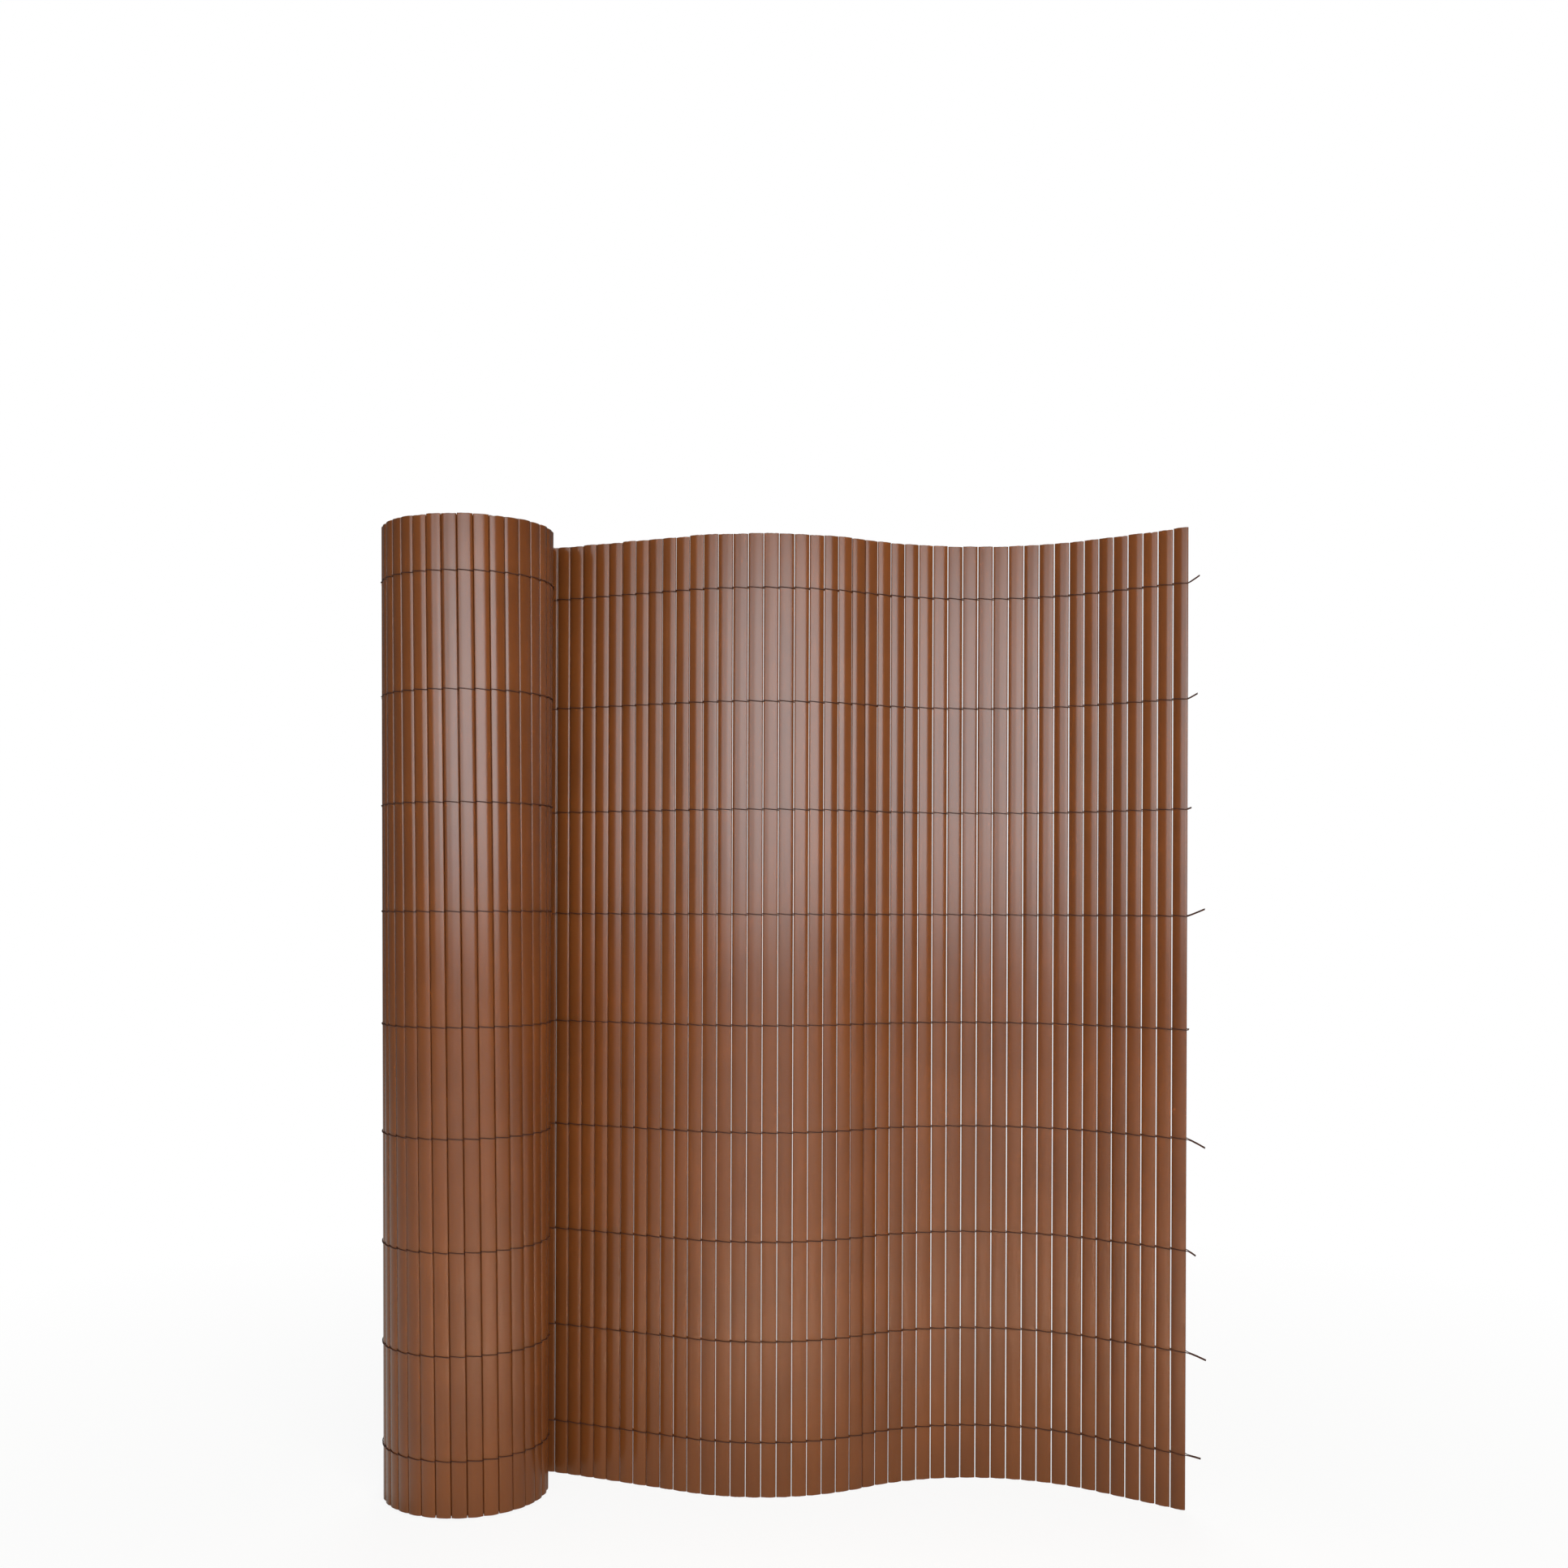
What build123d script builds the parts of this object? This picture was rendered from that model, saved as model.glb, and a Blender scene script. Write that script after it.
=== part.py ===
from build123d import *
import os
from math import cos, pi, radians, sin, sqrt, tan

# A privacy screen mat of hollow PVC slats, standing on its end: the left of it is still rolled up, and the
# rest is drawn out in a wave. X runs along the mat, Y away from the viewer, Z up from the floor.

# Slats
slat_length = 900.0
slat_width = 13.0
edge_height = 2.5
crown_rise = 0.85
slat_wall = 0.6
slat_thickness = edge_height + 2 * crown_rise

# Gaps between slats, which open a little towards the free edge
rolled_gap = 1.25
free_gap = 2.0

# The roll: how many slats are wound round the hollow core, and the room for the binding between turns
rolled_slats = 160
core_radius = 45.0
turn_gap = 1.6
exit_angle = 75.5

# The open run: slats in each stretch, and the turn of the stretches that bend, left turns positive
exit_slats = 6
exit_turn = -8.5
lean_slats = 8
crest_slats = 12
crest_turn = 55.0
hollow_slats = 16
hollow_turn = -67.5
free_slats = 6

# Binding wire: nine rows of two strands that run straight over a few slats at a time, with the drift of
# each row from an even spacing
strand_size = 1.2
strand_clearance = 0.3
span_slats = 2
tail_length = 14.0
row_margin = 50.0
row_drift = (1.0, -5.0, -12.0, -10.0, -10.0, -6.0, -8.0, -7.0, -1.0)

# Spacing of the slats, from the roll to the free edge
stretches = (
    (exit_slats, exit_turn),
    (lean_slats, 0.0),
    (crest_slats, crest_turn),
    (hollow_slats, hollow_turn),
    (free_slats, 0.0),
)
open_slats = sum(count for count, turn in stretches)
rolled_pitch = slat_width + rolled_gap
seams = [0.0]
for number in range(open_slats):
    loosening = ((number + 0.5) / open_slats) ** 2
    gap = rolled_gap + (free_gap - rolled_gap) * loosening
    seams.append(seams[-1] + slat_width + gap)

# The roll's outer radius follows from its core and from the length that is wound up
turn_pitch = slat_thickness + turn_gap
wound_length = rolled_slats * rolled_pitch
roll_radius = sqrt(core_radius**2 + wound_length * turn_pitch / pi)


def roll_point(angle, height):
    """A point at an angle wound inwards from the exit, and a height outside the mat's middle."""
    radius = roll_radius - turn_pitch * angle / (2 * pi) + height
    direction = radians(exit_angle) + angle
    return roll_axis + Vector(cos(direction), sin(direction)) * radius


def measured_stretches():
    """The slats, length and turn of each stretch, from the roll outwards."""
    first = 0
    for count, turn in stretches:
        yield count, seams[first + count] - seams[first], turn
        first += count


def strand_corners(shift):
    """Corners of straight spans that touch the run moved sideways by shift, outside the roll positive."""
    heading = Vector(1, 0).rotate(Axis.Z, exit_angle - 90)
    point = roll_point(0, shift)
    corners = [point]
    for count, length, turn in measured_stretches():
        if turn:
            bends = count // span_slats
            leg = (length / radians(turn) - shift) * tan(radians(turn / bends) / 2)
            for bend in range(bends):
                corners.append(point + heading * leg)
                heading = heading.rotate(Axis.Z, turn / bends)
                point = corners[-1] + heading * leg
        else:
            point = point + heading * length
    return corners + [point]


# The roll's axis stands where the whole mat is centred on the origin
crown = slat_thickness / 2
free_heading = exit_angle - 90 + sum(turn for count, turn in stretches)
roll_axis = Vector(0, 0)
tail_tip = strand_corners(0)[-1] + Vector(tail_length, 0).rotate(Axis.Z, free_heading)
left_side = roll_point(radians(180 - exit_angle), crown)
back_side = roll_point(radians(90 - exit_angle), crown)
front_side = roll_point(radians(270 - exit_angle), crown)
roll_axis = Vector(left_side.X + tail_tip.X, front_side.Y + back_side.Y) * -0.5

# The middle of the open run, as tangent arcs and straights
heading = exit_angle - 90
free_end = roll_point(0, 0)
with BuildLine() as run:
    for count, length, turn in measured_stretches():
        if turn:
            start_direction = Vector(1, 0).rotate(Axis.Z, heading)
            stretch = JernArc(free_end, start_direction, length / radians(abs(turn)), turn)
        else:
            stretch = PolarLine(free_end, length, heading)
        heading += turn
        free_end = stretch @ 1
run_wire = run.wire()

os.makedirs("parts", exist_ok=True)

# Slats of the open run: two shallow crowns joined by short flat edges, hollow and open at both ends,
# each slat square to the run at its own place
side = slat_width / 2
edge = edge_height / 2
for number in range(open_slats):
    middle = (seams[number] + seams[number + 1]) / 2
    centre = run_wire.position_at(middle, PositionMode.LENGTH)
    along = run_wire.tangent_at(middle, PositionMode.LENGTH)
    with BuildPart() as slat:
        with BuildSketch(Plane(origin=centre, x_dir=along, z_dir=(0, 0, 1))):
            with BuildLine():
                ThreePointArc((-side, edge), (0, crown), (side, edge))
                Line((side, edge), (side, -edge))
                ThreePointArc((side, -edge), (0, -crown), (-side, -edge))
                Line((-side, -edge), (-side, edge))
            make_face()
            offset(amount=-slat_wall, kind=Kind.INTERSECTION, mode=Mode.SUBTRACT)
        extrude(amount=slat_length)
    slat.part.label = f"slat_{number + 1:02d}"
    export_step(slat.part, f"parts/{slat.part.label}.step")


# The rolled-up slats: one spiral wall of ridges, crowned outside and inside as the slats are
folds = [0.0]
for number in range(rolled_slats):
    radius = roll_radius - turn_pitch * folds[-1] / (2 * pi)
    folds.append(folds[-1] + rolled_pitch / radius)


def ridges(angles, low, high):
    """A row of crowned arcs from fold to fold, at these heights outside the mat's middle."""
    for begin, end in zip(angles, angles[1:]):
        top = roll_point((begin + end) / 2, high)
        ThreePointArc(roll_point(begin, low), top, roll_point(end, low))


with BuildPart() as roll:
    with BuildSketch():
        with BuildLine():
            ridges(folds, edge, crown)
            ridges(folds, -edge, -crown)
            for end_fold in (folds[0], folds[-1]):
                Line(roll_point(end_fold, edge), roll_point(end_fold, -edge))
        make_face()
    extrude(amount=slat_length)
roll.part.label = "rolled_slats"
export_step(roll.part, "parts/rolled_slats.step")

# Binding wire: a strand along each face of the run, brought together past the last slat into a short tail
inner_face = crown + strand_clearance
outer_face = inner_face + strand_size
row_spacing = (slat_length - 2 * row_margin) / (len(row_drift) - 1)
for number, drift in enumerate(row_drift):
    row_height = row_margin + number * row_spacing + drift
    with BuildPart() as wire:
        with BuildSketch(Plane.XY.offset(row_height - strand_size / 2)):
            for near, far in ((inner_face, outer_face), (-outer_face, -inner_face)):
                with BuildLine():
                    Polyline(*strand_corners(near), *reversed(strand_corners(far)), close=True)
                make_face()
        extrude(amount=strand_size)
        with BuildSketch(Plane(
            origin=(free_end.X, free_end.Y, row_height - strand_size / 2),
            x_dir=Vector(1, 0).rotate(Axis.Z, free_heading),
        )):
            Rectangle(strand_size, 2 * outer_face, align=(Align.MIN, Align.CENTER))
            Rectangle(tail_length, strand_size, align=(Align.MIN, Align.CENTER))
        extrude(amount=strand_size)
    wire.part.label = f"binding_wire_{number + 1}"
    export_step(wire.part, f"parts/{wire.part.label}.step")
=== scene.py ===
# %% [markdown]
# # A PVC privacy screen mat, partly unrolled
#
# The mat is some two hundred hollow plastic slats, bound side by side by nine rows of twisted wire. It
# stands on the ends of its slats: the left of it is still a roll, and the rest is drawn out in a wave. The
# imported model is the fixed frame, in metres, and every piece below takes its place from it.

# %% Load the frame
import random
from math import asin, cos, pi, radians, sin, sqrt

import bmesh
import bpy
from mathutils import Matrix, Vector


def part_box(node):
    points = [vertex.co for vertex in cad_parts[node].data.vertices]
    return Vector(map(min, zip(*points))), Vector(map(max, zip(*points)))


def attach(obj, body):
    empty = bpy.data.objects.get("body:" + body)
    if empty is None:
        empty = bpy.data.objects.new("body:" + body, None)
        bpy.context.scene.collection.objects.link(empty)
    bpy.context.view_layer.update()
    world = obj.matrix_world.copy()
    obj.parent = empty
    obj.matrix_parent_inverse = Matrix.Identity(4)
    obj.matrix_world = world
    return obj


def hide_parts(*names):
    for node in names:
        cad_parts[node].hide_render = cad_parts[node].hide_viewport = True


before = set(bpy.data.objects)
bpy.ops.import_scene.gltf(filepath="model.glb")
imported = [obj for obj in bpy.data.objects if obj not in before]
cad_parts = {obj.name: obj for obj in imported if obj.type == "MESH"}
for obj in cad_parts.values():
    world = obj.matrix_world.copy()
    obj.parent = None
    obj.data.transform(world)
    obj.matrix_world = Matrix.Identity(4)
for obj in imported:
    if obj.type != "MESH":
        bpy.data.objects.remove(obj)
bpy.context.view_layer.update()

# %% [markdown]
# ## Where the open slats stand
#
# Each slat of the open run is a node of its own, so the middle of its box is the middle of the slat, and
# the line from the slat before it to the slat after it gives the way that the mat runs there. A stand is a
# pair of small frames, one at the slat's foot and one at its head, because the slats of the roll lean a
# little.

# %% Stands of the open slats
mm = 0.001


def middle(node):
    """The middle of a node's box."""
    low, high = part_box(node)
    return (Vector(low) + Vector(high)) / 2


def placed(point, along):
    """A frame at a point: X runs along the mat to its free edge, Y out of the roll, and Z up."""
    along = along.normalized()
    outward = Vector((-along.y, along.x, 0))
    return Matrix.Translation(point) @ Matrix((along, outward, (0, 0, 1))).transposed().to_4x4()


open_nodes = sorted(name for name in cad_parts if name.startswith("slat_"))
slat_length = 2 * middle(open_nodes[0]).z
centres = [middle(node) for node in open_nodes]
open_stands = []
for number, centre in enumerate(centres):
    before = centres[max(number - 1, 0)]
    after = centres[min(number + 1, len(centres) - 1)]
    foot = placed(Vector((centre.x, centre.y, 0)), after - before)
    open_stands.append((foot, Matrix.Translation((0, 0, slat_length)) @ foot))
print("open slats:", len(open_stands), "slat length:", round(slat_length, 4))

# %% [markdown]
# ## Where the rolled slats stand
#
# The roll is a spiral that starts where the open run ends, and each turn lies one slat and one wire inside
# the turn before it. All slats are drawn a little wider than the frame's, on the same pitch: on a real mat
# they nearly touch, and the frame's keep a clearance. The real roll is wound a little tighter at the foot
# than at the head. The same number of slats then goes further round at the foot, which is why the slats on
# the front of the roll lean. Working out the spiral twice, once for each end, gives that lean by itself.
# The turns have also slipped a little upwards: not at all at the exit, by the most about one turn in, and
# then less and less towards the core.

# %% Stands of the rolled slats
slat_width = 13.9 * mm
rolled_gap = 0.35 * mm
rolled_slats = 160
core_radius = 45 * mm
turn_pitch = 5.8 * mm
exit_angle = radians(75.5)
roll_taper = 3.2 * mm
roll_slip = 2.2 * mm

rolled_pitch = slat_width + rolled_gap
roll_radius = sqrt(core_radius**2 + rolled_slats * rolled_pitch * turn_pitch / pi)
exit_point = open_stands[0][0] @ Vector((-rolled_pitch / 2, 0, 0))


def wound(outer_radius, height):
    """Frames of the rolled slats at one height, from the exit inwards."""
    axis = exit_point - outer_radius * Vector((cos(exit_angle), sin(exit_angle), 0))
    frames = []
    turned = 0
    for number in range(rolled_slats):
        radius = outer_radius - turn_pitch * turned / (2 * pi)
        step = rolled_pitch / radius
        direction = exit_angle + turned + step / 2
        radial = Vector((cos(direction), sin(direction), 0))
        slip = roll_slip * sin(pi * sqrt(number / rolled_slats))
        place = axis + radial * radius + Vector((0, 0, height + slip))
        frames.append(placed(place, Vector((radial.y, -radial.x, 0))))
        turned += step
    return frames


wound_feet = wound(roll_radius - roll_taper / 2, 0)
wound_heads = wound(roll_radius + roll_taper / 2, slat_length)
rolled_stands = list(zip(wound_feet, wound_heads))
print("rolled slats:", len(rolled_stands), "roll radius:", round(roll_radius, 4))

# %% [markdown]
# ## Nodes and colours
#
# Three helpers serve every material. One turns a colour as it is written on a screen into the linear values
# that the shader works with. One adds a node, sets it, and links its inputs. The last starts an empty
# material.

# %% Helpers for materials


def linear(hex_colour):
    """An sRGB hex colour as linear red, green, blue and alpha."""
    values = [int(hex_colour[place:place + 2], 16) / 255 for place in (1, 3, 5)]
    return [v / 12.92 if v <= 0.04045 else ((v + 0.055) / 1.055) ** 2.4 for v in values] + [1]


def add(tree, kind, inputs=None, **settings):
    """Adds a node with its settings, and sets or links its inputs."""
    node = tree.nodes.new(kind)
    for name, value in settings.items():
        setattr(node, name, value)
    for socket, value in (inputs or {}).items():
        if isinstance(value, bpy.types.NodeSocket):
            tree.links.new(value, node.inputs[socket])
        else:
            node.inputs[socket].default_value = value
    return node


def new_material(name):
    """An empty material, its node tree, and the output to link to."""
    material = bpy.data.materials.new(name)
    material.use_nodes = True
    material.node_tree.nodes.clear()
    output = add(material.node_tree, "ShaderNodeOutputMaterial")
    return material, material.node_tree, output.inputs["Surface"]


print("white as linear:", linear("#ffffff"))

# %% [markdown]
# ## Extruded PVC
#
# The slats are rigid PVC, drawn through a die. The skin is smooth and half glossy, and it mirrors a bright
# light as a soft pale band. The die leaves fine lines along the slat, which break that band into streaks.
# They are a noise half a metre long and a few millimetres wide, coarser than the real lines, which would be
# too fine to show. The brown itself changes a little from slat to slat, which each slat carries as an
# attribute, and in soft clouds along the length.

# %% Extruded PVC
die_line_width = 2.4 * mm
die_line_length = 500 * mm
die_line_depth = 0.022 * mm
cloud_size = 70 * mm

extruded_pvc, tree, surface = new_material("extruded_pvc")
place = add(tree, "ShaderNodeTexCoord").outputs["Object"]
line_scale = (1 / die_line_width, 1 / die_line_width, 1 / die_line_length)
line_place = add(tree, "ShaderNodeMapping", {"Vector": place, "Scale": line_scale})
die_lines = add(tree, "ShaderNodeTexNoise", {
    "Vector": line_place.outputs["Vector"], "Scale": 1, "Detail": 3, "Roughness": 0.55})
clouds = add(tree, "ShaderNodeTexNoise", {"Vector": place, "Scale": 1 / cloud_size, "Detail": 2})
tone = add(tree, "ShaderNodeAttribute", attribute_name="tone")
shade = add(tree, "ShaderNodeMath", {0: clouds.outputs["Fac"], 1: tone.outputs["Fac"]}, operation="ADD")
brown = add(tree, "ShaderNodeMix", {
    "Factor": add(tree, "ShaderNodeMapRange", {
        "Value": shade.outputs["Value"], "From Min": 0.1, "From Max": 0.9}).outputs["Result"],
    "A": linear("#6b3a1a"), "B": linear("#7c4520")}, data_type="RGBA")
polish = add(tree, "ShaderNodeMapRange", {
    "Value": die_lines.outputs["Fac"], "To Min": 0.16, "To Max": 0.25})
relief = add(tree, "ShaderNodeBump", {"Height": die_lines.outputs["Fac"], "Distance": die_line_depth})
skin = add(tree, "ShaderNodeBsdfPrincipled", {
    "Base Color": brown.outputs["Result"], "Roughness": polish.outputs["Result"], "IOR": 1.53,
    "Normal": relief.outputs["Normal"]})
tree.links.new(skin.outputs["BSDF"], surface)
print("material:", extruded_pvc.name)

# %% [markdown]
# ## Sawn PVC
#
# The slats are cut to length by a saw, and the cut shows PVC that was never polished by the die: paler,
# matt, with the small marks of the teeth.

# %% Sawn PVC
tooth_mark = 0.8 * mm
tooth_depth = 0.1 * mm

sawn_pvc, tree, surface = new_material("sawn_pvc")
place = add(tree, "ShaderNodeTexCoord").outputs["Object"]
marks = add(tree, "ShaderNodeTexNoise", {"Vector": place, "Scale": 1 / tooth_mark, "Detail": 3})
paler = add(tree, "ShaderNodeMix", {
    "Factor": marks.outputs["Fac"], "A": linear("#6b3f28"), "B": linear("#a07a66")}, data_type="RGBA")
rough = add(tree, "ShaderNodeMapRange", {"Value": marks.outputs["Fac"], "To Min": 0.55, "To Max": 0.8})
relief = add(tree, "ShaderNodeBump", {"Height": marks.outputs["Fac"], "Distance": tooth_depth})
cut = add(tree, "ShaderNodeBsdfPrincipled", {
    "Base Color": paler.outputs["Result"], "Roughness": rough.outputs["Result"], "IOR": 1.53,
    "Normal": relief.outputs["Normal"]})
tree.links.new(cut.outputs["BSDF"], surface)
print("material:", sawn_pvc.name)

# %% [markdown]
# ## Coated wire
#
# The binding is thin steel wire in a dark brown plastic coat. It is darker than the slats, with only a dull
# shine where it bends, and pulling it tight has scuffed the coat all along.

# %% Coated wire
scuff_size = 3 * mm
scuff_depth = 0.05 * mm

coated_wire, tree, surface = new_material("coated_wire")
place = add(tree, "ShaderNodeTexCoord").outputs["Object"]
scuffs = add(tree, "ShaderNodeTexNoise", {"Vector": place, "Scale": 1 / scuff_size, "Detail": 2})
coat = add(tree, "ShaderNodeMix", {
    "Factor": scuffs.outputs["Fac"], "A": linear("#2a140c"), "B": linear("#552e1e")}, data_type="RGBA")
dull = add(tree, "ShaderNodeMapRange", {"Value": scuffs.outputs["Fac"], "To Min": 0.5, "To Max": 0.75})
relief = add(tree, "ShaderNodeBump", {"Height": scuffs.outputs["Fac"], "Distance": scuff_depth})
wire_skin = add(tree, "ShaderNodeBsdfPrincipled", {
    "Base Color": coat.outputs["Result"], "Roughness": dull.outputs["Result"], "IOR": 1.5,
    "Specular IOR Level": 0.3, "Normal": relief.outputs["Normal"]})
tree.links.new(wire_skin.outputs["BSDF"], surface)
print("material:", coated_wire.name)

# %% [markdown]
# ## The pattern of a slat
#
# A slat is a flat tube with a shallow crown on both faces. The crowns matter most for the look: they spread
# the mirror image of a lamp over part of the slat, and the share that is bright moves from slat to slat
# along the wave. Each crown is a point spun through a short arc. The two arcs close into a face, its four
# corners are rounded, the face is inset by the wall, and the rim that is left is pulled up to the full
# length.

# %% Pattern of a slat
slat_thickness = 4.2 * mm
slat_wall = 0.6 * mm
crown_rise = 1.25 * mm
corner_cut = 0.82 * mm
crease_angle = radians(60)


def section(bm, crown_steps, corner_steps):
    """A face with the outline of a slat."""
    side = slat_width / 2
    radius = (side**2 + crown_rise**2) / (2 * crown_rise)
    corners = []
    for way in (1, -1):
        start = bm.verts.new((-way * side, way * (slat_thickness / 2 - crown_rise), 0))
        arc = bmesh.ops.spin(
            bm, geom=[start], cent=(0, way * (slat_thickness / 2 - radius), 0), axis=(0, 0, -1),
            angle=2 * asin(side / radius), steps=crown_steps)
        corners += [start, arc["geom_last"][0]]
    bm.edges.new((corners[1], corners[2]))
    bm.edges.new((corners[3], corners[0]))
    bmesh.ops.contextual_create(bm, geom=bm.edges[:])
    bmesh.ops.bevel(
        bm, geom=corners, offset=corner_cut, affect="VERTICES", segments=corner_steps, profile=0.5,
        material=-1)


def slat_pattern(name, crown_steps, corner_steps):
    """A mesh of one slat that stands at the origin, to be copied."""
    bm = bmesh.new()
    section(bm, crown_steps, corner_steps)
    rim = bmesh.ops.inset_region(
        bm, faces=bm.faces[:], thickness=slat_wall, use_boundary=True, use_even_offset=True)["faces"]
    bmesh.ops.delete(bm, geom=list(set(bm.faces) - set(rim)), context="FACES_ONLY")
    pulled = bmesh.ops.extrude_face_region(bm, geom=rim, use_keep_orig=True)["geom"]
    head = [part for part in pulled if isinstance(part, bmesh.types.BMVert)]
    bmesh.ops.translate(bm, vec=(0, 0, slat_length), verts=head)
    bmesh.ops.recalc_face_normals(bm, faces=bm.faces[:])
    for face in bm.faces:
        is_sawn = abs(face.normal.z) > 0.5
        face.smooth = True
        face.material_index = int(is_sawn)
    for edge in bm.edges:
        edge.smooth = edge.calc_face_angle() < crease_angle
    pattern = bpy.data.meshes.new(name)
    bm.to_mesh(pattern)
    bm.free()
    return pattern


open_pattern = slat_pattern("open_pattern", crown_steps=8, corner_steps=3)
rolled_pattern = slat_pattern("rolled_pattern", crown_steps=4, corner_steps=2)
print("faces in a slat:", len(open_pattern.polygons), "open,", len(rolled_pattern.polygons), "rolled")

# %% [markdown]
# ## A slat on its stand
#
# The foot of a copy goes to the foot's frame and the head to the head's, so that a leaning slat costs
# nothing more. Real slats aren't all alike: each sits a degree or so askew in its binding and has a brown
# of its own, and the saw leaves the ends uneven, with a few small chips at the head. A second helper turns
# any mesh into a piece that rides on the mat and stands for some of the frame's nodes.

# %% A slat on its stand
slat_askew = radians(1.1)
saw_slip = 0.8 * mm
head_wobble = 0.12 * mm
foot_wobble = 0.2 * mm
chips = 3
chip_depth = 1.2 * mm
tone_spread = 0.2


def add_slat(bm, pattern, stand, chance):
    """Adds a copy of the pattern on its stand, with chance as the source of what sets it apart."""
    first = len(bm.verts)
    bm.from_mesh(pattern)
    bm.verts.ensure_lookup_table()
    foot = [vert for vert in bm.verts[first:] if vert.co.z < slat_length / 2]
    head = [vert for vert in bm.verts[first:] if vert.co.z > slat_length / 2]
    slip = chance.uniform(-saw_slip, 0) - slat_length
    for vert in head:
        vert.co.z += slip + chance.uniform(-head_wobble, head_wobble)
    for vert in foot:
        vert.co.z += chance.uniform(0, foot_wobble)
    for vert in chance.sample(head, chips):
        vert.co.z -= chance.uniform(0, chip_depth)
    askew = Matrix.Rotation(chance.gauss(0, slat_askew), 4, "Z")
    bmesh.ops.transform(bm, matrix=stand[0] @ askew, verts=foot)
    bmesh.ops.transform(bm, matrix=stand[1] @ askew, verts=head)
    tone_layer = bm.verts.layers.float.get("tone") or bm.verts.layers.float.new("tone")
    slat_tone = chance.uniform(-tone_spread, tone_spread)
    bm.verts.ensure_lookup_table()
    for vert in bm.verts[first:]:
        vert[tone_layer] = slat_tone


def finished(name, bm, materials, nodes):
    """Makes a piece of a mesh that stands for these nodes, and lets it ride on the mat."""
    bmesh.ops.recalc_face_normals(bm, faces=bm.faces)
    mesh = bpy.data.meshes.new(name)
    bm.to_mesh(mesh)
    bm.free()
    for material in materials:
        mesh.materials.append(material)
    piece = bpy.data.objects.new(name, mesh)
    bpy.context.scene.collection.objects.link(piece)
    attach(piece, "root")
    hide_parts(*nodes)
    return piece


print("slats lie askew by about", slat_askew, "radians")

# %% [markdown]
# ## The open slats
#
# The open slats are seen close to, each with its own gap of light beside it, so each is a piece of its own
# that stands for its own node, and has more sides than those in the roll.

# %% Open slats
chance = random.Random(7)
for node, stand in zip(open_nodes, open_stands):
    bm = bmesh.new()
    add_slat(bm, open_pattern, stand, chance)
    finished("open_" + node, bm, (extruded_pvc, sawn_pvc), [node])
print("open slats made:", len(open_nodes))

# %% [markdown]
# ## The rolled slats
#
# The roll is one piece, as it is in the frame, but here it has all its slats, hollow and apart, so that its
# head shows the turns and the holes from above.

# %% Rolled slats
bm = bmesh.new()
for stand in rolled_stands:
    add_slat(bm, rolled_pattern, stand, chance)
roll = finished("wound_slats", bm, (extruded_pvc, sawn_pvc), ["rolled_slats"])
print("rolled slats made:", len(rolled_stands), "faces:", len(roll.data.polygons))

# %% [markdown]
# ## The binding wire
#
# Each row is two strands. One goes in front of a slat and one behind it, and in every gap they change
# places with half a twist, always the same way round. That is why the strand in front falls a little across
# each slat and steps up again in the gap. A strand is one smooth spline with five points for each slat,
# made into a round tube. The rows go round the outer turn of the roll and the wall of the core, and the
# turns between them can't be seen.

# %% Strands
strand_radius = 0.45 * mm
twist_rise = 0.6 * mm
crown_clear = slat_thickness / 2 + strand_radius
edge_clear = 1.6 * mm
outer_turn_slats = 38
core_turn_slats = 24

# The way of a strand over a slat: shares of its width from the middle, and how far out the strand runs there
crossing = ((-0.5, edge_clear), (-0.3, crown_clear), (0.3, crown_clear), (0.5, edge_clear))


def row_frames(stands, height):
    """The stands' frames at one height."""
    return [foot.lerp(head, height / slat_length) for foot, head in stands]


def strand_points(frames, last_face):
    """Points of one strand of a row along these slats, with the face of the last slat that it crosses."""
    points = []
    for number, place in enumerate(frames):
        face = last_face if (len(frames) - number) % 2 else -last_face
        for along, out in crossing:
            points.append(place @ Vector((along * slat_width, face * out, face * along * 2 * twist_rise)))
        if number + 1 < len(frames):
            here = place @ Vector((slat_width / 2, 0, face * twist_rise))
            there = frames[number + 1] @ Vector((-slat_width / 2, 0, face * twist_rise))
            points.append((here + there) / 2)
    return points


def add_spline(curve, points):
    """Adds a smooth strand through the points' hull to a curve."""
    spline = curve.splines.new("NURBS")
    spline.points.add(len(points) - 1)
    for control, point in zip(spline.points, points):
        control.co = (*point, 1)
    spline.order_u = 3
    spline.use_endpoint_u = True


print("strand:", 2 * strand_radius, "thick")

# %% [markdown]
# ## Tails
#
# At the free edge both strands of a row run on, side by side, into a short tail. No two tails are alike:
# some point up, some hang, and two are cut off close. The reach and the rise of each are given in
# millimetres, from the bottom row to the top one. A tail leaves the last slat at its root and bends once,
# at its knee.

# %% Rows of wire
tails = (
    (14.8, -1.5), (19.5, -5.2), (9.4, -4.5), (18.0, -7.4), (2.3, 0.0),
    (17.0, 5.9), (3.9, 0.7), (9.4, 3.7), (11.0, 5.2),
)
tail_root = Vector((1.5, -0.8, -0.3)) * mm
tail_knee = Vector((0.7, -0.3, 0)) * mm
knee_reach = 0.5
knee_rise = 0.45
twin_shift = Vector((0, 0.3, 0.8)) * mm

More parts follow.
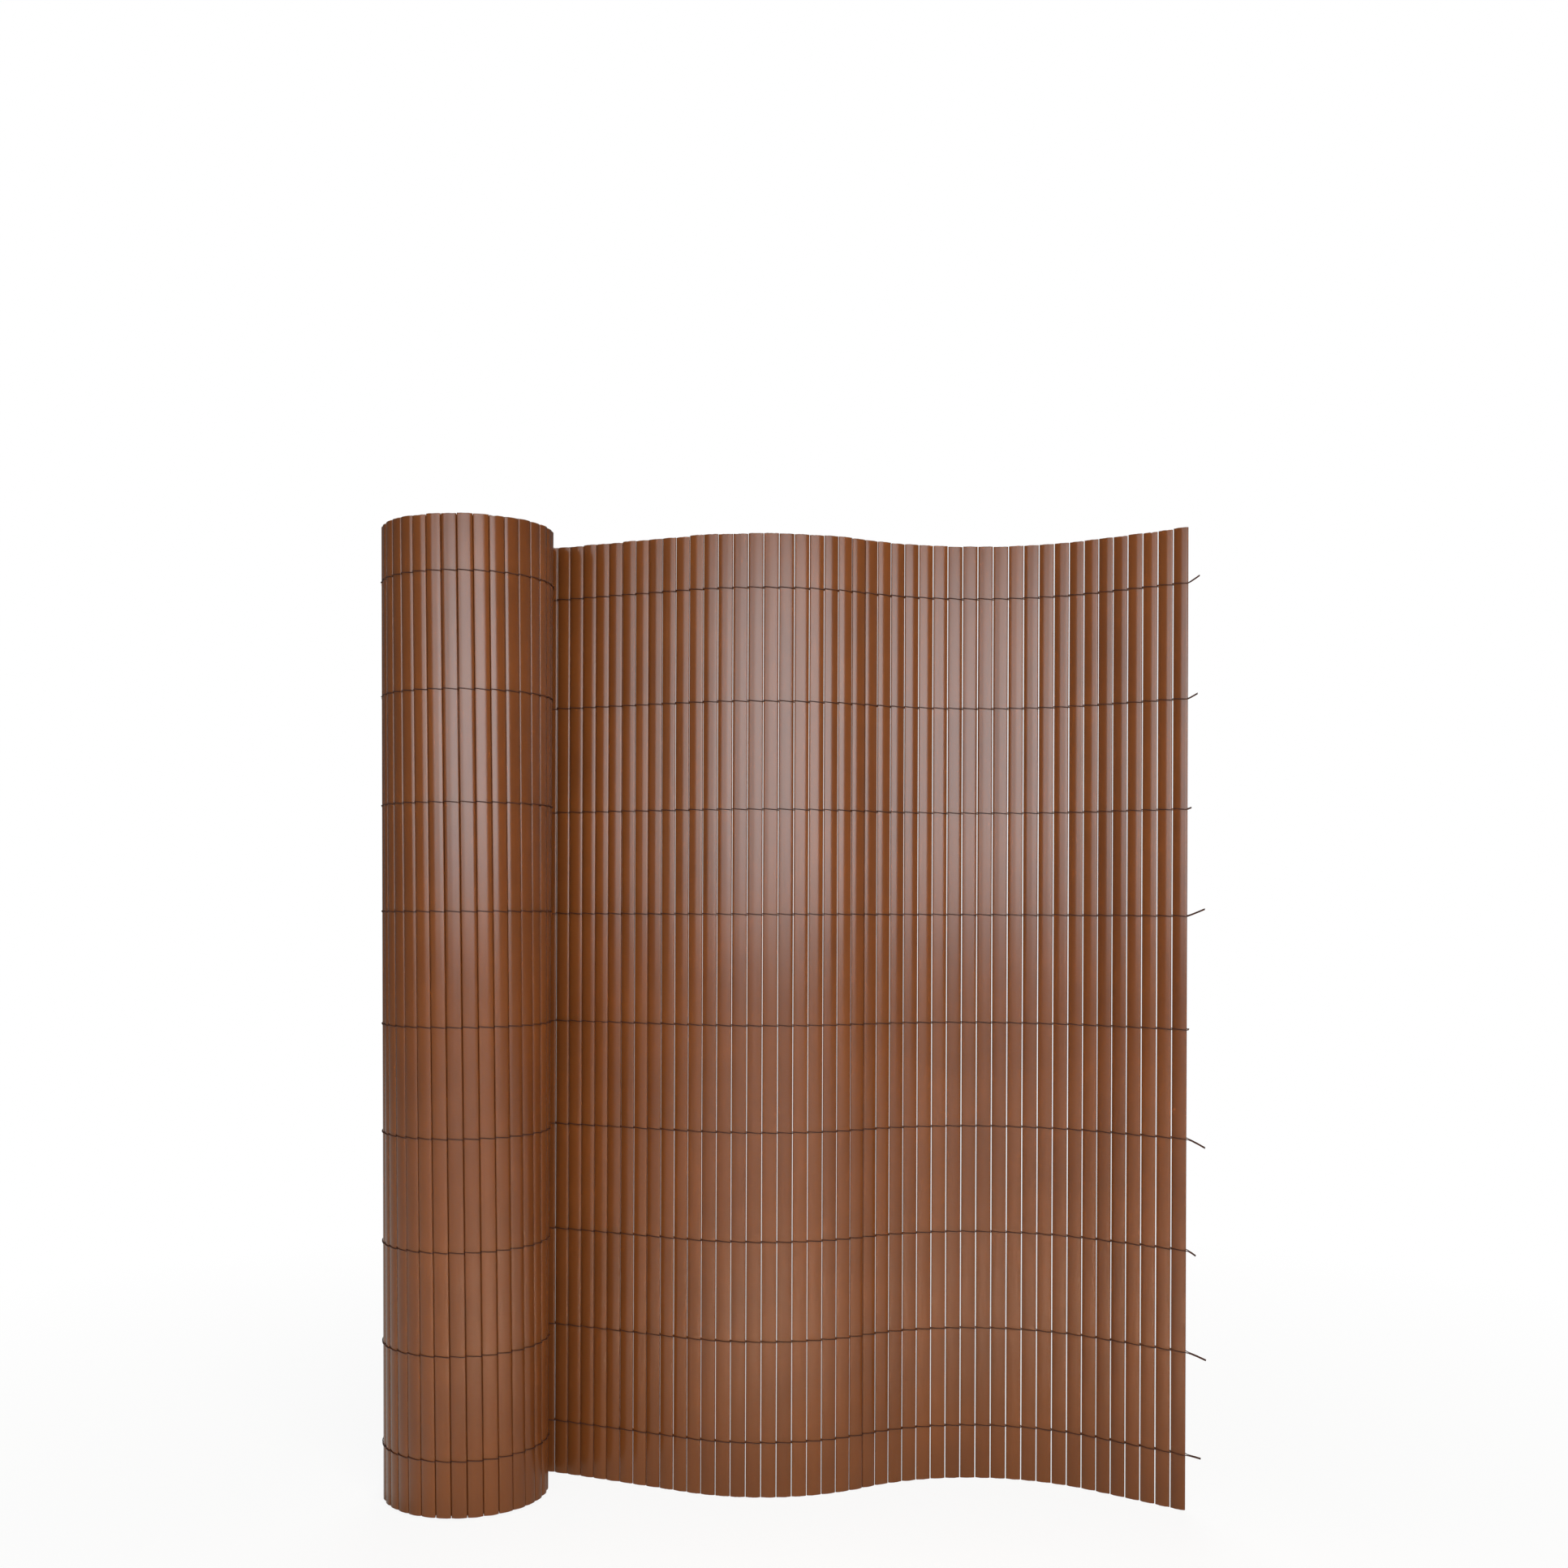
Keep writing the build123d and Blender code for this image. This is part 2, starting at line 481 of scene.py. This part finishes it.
free_edge = Vector((slat_width / 2, 0, 0))
wire_nodes = sorted(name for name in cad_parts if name.startswith("binding_wire_"))
outer_stands = rolled_stands[outer_turn_slats - 1::-1] + open_stands
core_stands = rolled_stands[-core_turn_slats:]
for node, (reach, rise) in zip(wire_nodes, tails):
    height = middle(node).z
    curve = bpy.data.curves.new(node, "CURVE")
    curve.dimensions = "3D"
    curve.resolution_u = 2
    curve.bevel_depth = strand_radius
    curve.bevel_resolution = 1
    curve.use_fill_caps = True
    frames = row_frames(outer_stands, height)
    tail = [
        free_edge + tail_root,
        free_edge + tail_knee + Vector((knee_reach * reach, 0, knee_rise * rise)) * mm,
        free_edge + Vector((reach, 0, rise)) * mm,
    ]
    twin = [point + twin_shift for point in tail]
    add_spline(curve, strand_points(frames, -1) + [frames[-1] @ point for point in tail])
    add_spline(curve, strand_points(frames, 1) + [frames[-1] @ point for point in twin])
    for last_face in (-1, 1):
        add_spline(curve, strand_points(row_frames(core_stands, height), last_face))
    tube = bpy.data.objects.new(node + "_route", curve)
    bm = bmesh.new()
    bm.from_mesh(bpy.data.meshes.new_from_object(tube))
    bpy.data.objects.remove(tube)
    for face in bm.faces:
        face.smooth = True
        face.material_index = 0
    row = finished("twisted_" + node, bm, (coated_wire,), [node])
print("rows of wire:", len(wire_nodes), "faces in one:", len(row.data.polygons))

# %% [markdown]
# ## Floor
#
# The mat stands on a sheet of white paper. To the camera the paper is nearly pure white: near the mat a
# share of its own shading stays, so that the mat keeps a faint shadow, and further off it runs into the
# background. To the mat it is what it is in a studio: a white surface that throws light back, mostly at the
# lower half of the slats. The fibre is drawn coarser than that of real paper, which would be too fine to
# show. The sheet lies a hair below the feet, so that no foot shares its plane.

# %% Floor
floor_whiteness = 0.9
fade_start = 0.5
fade_end = 1.4
fibre_size = 4 * mm
floor_size = 6
floor_drop = 0.2 * mm

paper_white, tree, surface = new_material("white_paper")
camera_ray = add(tree, "ShaderNodeLightPath").outputs["Is Camera Ray"]
place = add(tree, "ShaderNodeTexCoord").outputs["Object"]
fibre = add(tree, "ShaderNodeTexNoise", {"Vector": place, "Scale": 1 / fibre_size})
paper = add(tree, "ShaderNodeMix", {
    "Factor": fibre.outputs["Fac"], "A": linear("#f2f2f0"), "B": linear("#f8f8f7")}, data_type="RGBA")
matt = add(tree, "ShaderNodeBsdfDiffuse", {"Color": paper.outputs["Result"]})
white = add(tree, "ShaderNodeEmission", {"Color": linear("#ffffff"), "Strength": 1})
distance = add(tree, "ShaderNodeVectorMath", {0: place}, operation="LENGTH")
whiteness = add(tree, "ShaderNodeMapRange", {
    "Value": distance.outputs["Value"], "From Min": fade_start, "From Max": fade_end,
    "To Min": floor_whiteness, "To Max": 1})
share = add(tree, "ShaderNodeMath", {0: camera_ray, 1: whiteness.outputs["Result"]}, operation="MULTIPLY")
mixed = add(tree, "ShaderNodeMixShader", {
    0: share.outputs["Value"], 1: matt.outputs["BSDF"], 2: white.outputs["Emission"]})
tree.links.new(mixed.outputs["Shader"], surface)

bm = bmesh.new()
bmesh.ops.create_grid(
    bm, x_segments=1, y_segments=1, size=floor_size, matrix=Matrix.Translation((0, 0, -floor_drop)))
mesh = bpy.data.meshes.new("floor")
bm.to_mesh(mesh)
bm.free()
mesh.materials.append(paper_white)
floor = bpy.data.objects.new("floor", mesh)
bpy.context.scene.collection.objects.link(floor)
print("stage:", floor.name)

# %% [markdown]
# ## Light
#
# A long, low bank of soft light stands behind the camera, a little cool in colour, in two leaves of which
# the left one is dimmer. Its mirror image is the pale band on every slat that faces it, and the band fades
# out below the middle of the mat, where the slats mirror what is under the bank. A warm key lamp hangs high
# on the right, a small lamp warms the paper in front of the mat, and a lamp behind the mat lights its back
# and its heads. The rest of the studio is dim, so slats that face elsewhere keep their own brown.

# %% Lamps
bank_distance = 4.2
bank_level = 1.16
bank_height = 1.34
cool = (0.84, 0.94, 1.0)
warm = (1.0, 0.92, 0.72)
amber = (1.0, 0.72, 0.52)
plain = (1.0, 1.0, 1.0)


def area_lamp(name, size, power, colour, place, aim):
    """A rectangular lamp of some watts at a place, turned to the point that it aims at."""
    light = bpy.data.lights.new(name, "AREA")
    light.shape = "RECTANGLE"
    light.size, light.size_y = size
    light.energy = power
    light.color = colour
    lamp = bpy.data.objects.new(name, light)
    lamp.location = place
    lamp.rotation_euler = (Vector(aim) - Vector(place)).to_track_quat("-Z", "Y").to_euler()
    bpy.context.scene.collection.objects.link(lamp)
    return light


# The leaves of the bank: name, turn from the mat's front in degrees, width in metres, power in watts
bank_leaves = (("bank_left", -26.75, 2.13, 30), ("bank_right", 14.75, 4.3, 101))
bank_centre = Vector((0, 0, bank_level))
for name, turn, width, power in bank_leaves:
    towards = Vector((sin(radians(turn)), -cos(radians(turn)), 0))
    area_lamp(name, (width, bank_height), power, cool, bank_centre + towards * bank_distance, bank_centre)

mat_middle = (0, 0, slat_length / 2)
area_lamp("key_lamp", size=(1.2, 1.2), power=44, colour=warm, place=(0.9, -2.4, 3.4), aim=mat_middle)
floor_lamp = area_lamp(
    "floor_lamp", size=(0.8, 0.5), power=4, colour=amber, place=(0.08, -0.75, 3.2), aim=(0.08, -0.75, 0))
floor_lamp.spread = radians(22)
area_lamp("back_lamp", size=(2.4, 1.2), power=75, colour=plain, place=(0, 3.0, 3.6), aim=mat_middle)
print("lamps:", [light.name for light in bpy.data.lights])

# %% [markdown]
# ## World
#
# Behind the mat the camera sees white. A white room would also light the slats from all sides and wash out
# their brown, so all else sees a dim one.

# %% World
room_level = 0.12

world = bpy.data.worlds.new("studio")
bpy.context.scene.world = world
world.use_nodes = True
tree = world.node_tree
tree.nodes.clear()
seen = add(tree, "ShaderNodeLightPath").outputs["Is Camera Ray"]
strength = add(tree, "ShaderNodeMapRange", {"Value": seen, "To Min": room_level, "To Max": 1})
sky = add(tree, "ShaderNodeBackground", {"Color": linear("#ffffff"), "Strength": strength.outputs["Result"]})
add(tree, "ShaderNodeOutputWorld", {"Surface": sky.outputs["Background"]})
print("world:", world.name)

# %% [markdown]
# ## Camera
#
# The camera looks level at the mat, from 1.6 m before the roll's axis and a little above the middle of the
# slats. Where the wave comes nearer, the heads therefore rise in the picture and the feet drop. The picture
# is square, and the lens is shifted up: the horizon lies below the middle, and the mat stands low in the
# picture. The camera is also held a fifth of a degree askew.

# %% Camera
focal_pixels = 2100
picture_pixels = 1932
horizon_pixels = 1117
sensor = 36
camera_from_roll = Vector((0.2956, -1.6012, 0.5513))
camera_tilt = radians(-0.2)
roll_axis = exit_point - roll_radius * Vector((cos(exit_angle), sin(exit_angle), 0))

camera = bpy.data.cameras.new("camera")
camera.sensor_width = sensor
camera.lens = focal_pixels * sensor / picture_pixels
camera.shift_y = (horizon_pixels - picture_pixels / 2) / picture_pixels
viewer = bpy.data.objects.new("camera", camera)
viewer.location = roll_axis + camera_from_roll
viewer.rotation_euler = (radians(90), camera_tilt, 0)
bpy.context.scene.collection.objects.link(viewer)
bpy.context.scene.camera = viewer
bpy.context.scene.view_settings.view_transform = "Standard"
print("lens:", round(camera.lens, 2), "shift:", round(camera.shift_y, 4))
